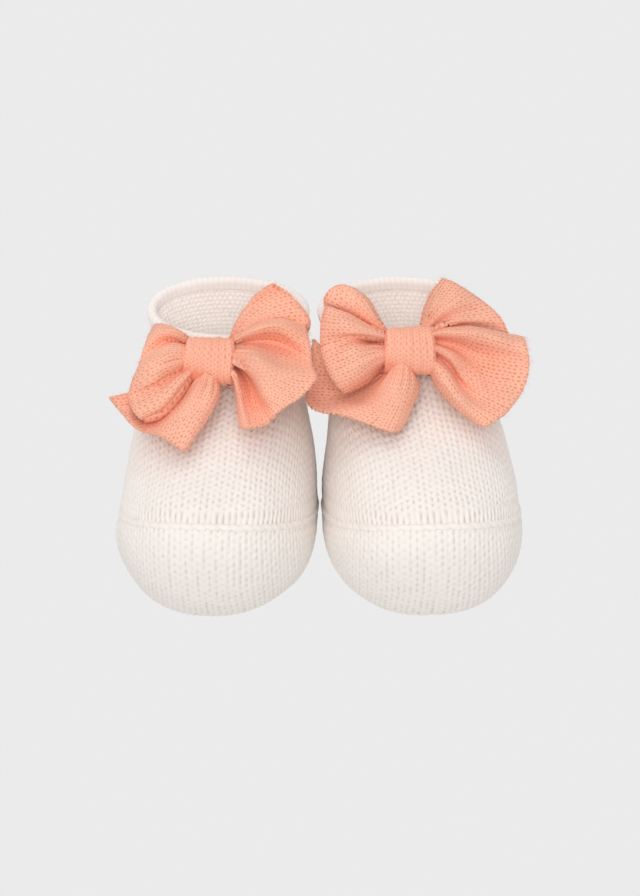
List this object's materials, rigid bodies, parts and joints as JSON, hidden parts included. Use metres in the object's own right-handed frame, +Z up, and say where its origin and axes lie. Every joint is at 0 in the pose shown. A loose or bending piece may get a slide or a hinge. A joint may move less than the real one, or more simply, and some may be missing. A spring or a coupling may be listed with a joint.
{
  "type": "baby bootie pair",
  "caption": "Soft knitted newborn booties, side by side: toe-cup sole, stockinette upper, open ankle with rolled rim, and a gathered jersey bow on each instep.",
  "frame": {"origin": "on the ground, in the middle of the pair's box", "axes": "+Z up; the toes point along -Y, the left bootie stands on the -X side and the right bootie on the +X side"},
  "size_m": [0.1186, 0.0958, 0.0757],
  "materials": {
    "upper_knit": "ivory stockinette, soft and slightly fuzzy",
    "sole_knit": "ivory stockinette, soft and slightly fuzzy",
    "rim_knit": "rolled ivory edge, smooth",
    "seam_yarn": "ivory yarn, chained",
    "bow_jersey": "coral fine jersey, matt, raw edges",
    "sewing_thread": "twisted sewing thread"
  },
  "bodies": {
    "left_bootie": {"left_sole_panel": "sole_knit", "left_upper_panel": "upper_knit", "left_toe_seam": "seam_yarn", "left_heel_seam": "seam_yarn", "left_cuff_rim": "rim_knit", "left_bow_band": "bow_jersey", "left_bow_core": "bow_jersey", "left_gather_thread": "sewing_thread", "left_band_stitches": "sewing_thread", "left_tack_stitches": "sewing_thread"},
    "left_outer_flap": {"left_bow_outer_loop": "bow_jersey", "left_bow_outer_tail": "bow_jersey"},
    "left_inner_flap": {"left_bow_inner_loop": "bow_jersey", "left_bow_inner_tail": "bow_jersey"},
    "right_bootie": {"right_sole_panel": "sole_knit", "right_upper_panel": "upper_knit", "right_toe_seam": "seam_yarn", "right_heel_seam": "seam_yarn", "right_cuff_rim": "rim_knit", "right_bow_band": "bow_jersey", "right_bow_core": "bow_jersey", "right_gather_thread": "sewing_thread", "right_band_stitches": "sewing_thread", "right_tack_stitches": "sewing_thread"},
    "right_outer_flap": {"right_bow_outer_loop": "bow_jersey", "right_bow_outer_tail": "bow_jersey"},
    "right_inner_flap": {"right_bow_inner_loop": "bow_jersey", "right_bow_inner_tail": "bow_jersey"}
  },
  "joints": [
    {"name": "right_bootie_apart", "type": "slide", "parent": "left_bootie", "child": "right_bootie", "axis": [1, 0, 0], "range_m": [0, 0.06]},
    {"name": "left_outer_flap_lift", "type": "hinge", "parent": "left_bootie", "child": "left_outer_flap", "pos_m": [-0.0338, 0.00575, 0.06216], "axis": [-0.5536, 0.6696, 0.495], "range_deg": [0, 30]},
    {"name": "left_inner_flap_lift", "type": "hinge", "parent": "left_bootie", "child": "left_inner_flap", "pos_m": [-0.02392, 0.00523, 0.06216], "axis": [-0.0414, -0.7898, -0.612], "range_deg": [0, 30]},
    {"name": "right_inner_flap_lift", "type": "hinge", "parent": "right_bootie", "child": "right_inner_flap", "pos_m": [0.02386, 0.0067, 0.06363], "axis": [-0.6112, 0.4283, 0.6656], "range_deg": [0, 30]},
    {"name": "right_outer_flap_lift", "type": "hinge", "parent": "right_bootie", "child": "right_outer_flap", "pos_m": [0.03374, 0.00722, 0.06363], "axis": [0.0297, -0.5675, -0.8229], "range_deg": [0, 30]}
  ]
}
